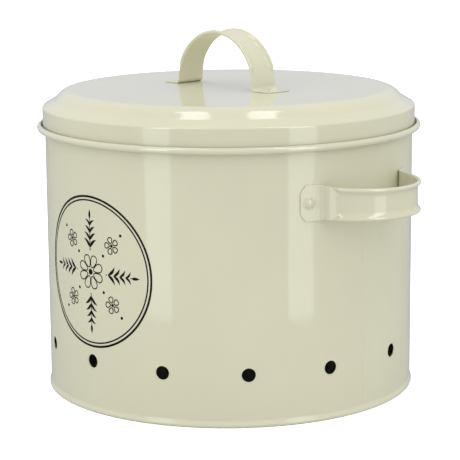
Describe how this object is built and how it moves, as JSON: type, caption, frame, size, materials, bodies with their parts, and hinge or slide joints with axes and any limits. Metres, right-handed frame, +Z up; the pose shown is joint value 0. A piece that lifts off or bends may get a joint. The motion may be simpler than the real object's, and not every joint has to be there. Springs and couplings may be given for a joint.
{
  "type": "potato storage bin",
  "caption": "Round cream-enamelled steel storage bin with a loose domed lid, riveted strap handles and a row of air holes near the base.",
  "frame": {"origin": "middle of the footprint, on the surface the bin stands on", "axes": "+Z up, the decorated front faces -Y, the side handles and the lid handle's length lie on X"},
  "size_m": [0.3168, 0.2608, 0.2423],
  "materials": {
    "body_paint": "glossy cream enamel",
    "lid_paint": "glossy cream enamel",
    "handle_paint": "glossy cream enamel",
    "rivet_paint": "glossy cream enamel over the rivet"
  },
  "bodies": {
    "bin": {"bin_body": "body_paint", "base_pan": "body_paint", "side_handle_right": "handle_paint", "side_handle_left": "handle_paint", "handle_rivet_right_front": "rivet_paint", "handle_rivet_right_back": "rivet_paint", "handle_rivet_left_front": "rivet_paint", "handle_rivet_left_back": "rivet_paint"},
    "lid": {"lid_shell": "lid_paint", "lid_handle": "handle_paint", "lid_rivet_right": "rivet_paint", "lid_rivet_left": "rivet_paint"}
  },
  "joints": [
    {"name": "lid_lift", "type": "slide", "parent": "bin", "child": "lid", "axis": [0, 0, 1], "range_m": [0, 0.25]}
  ]
}
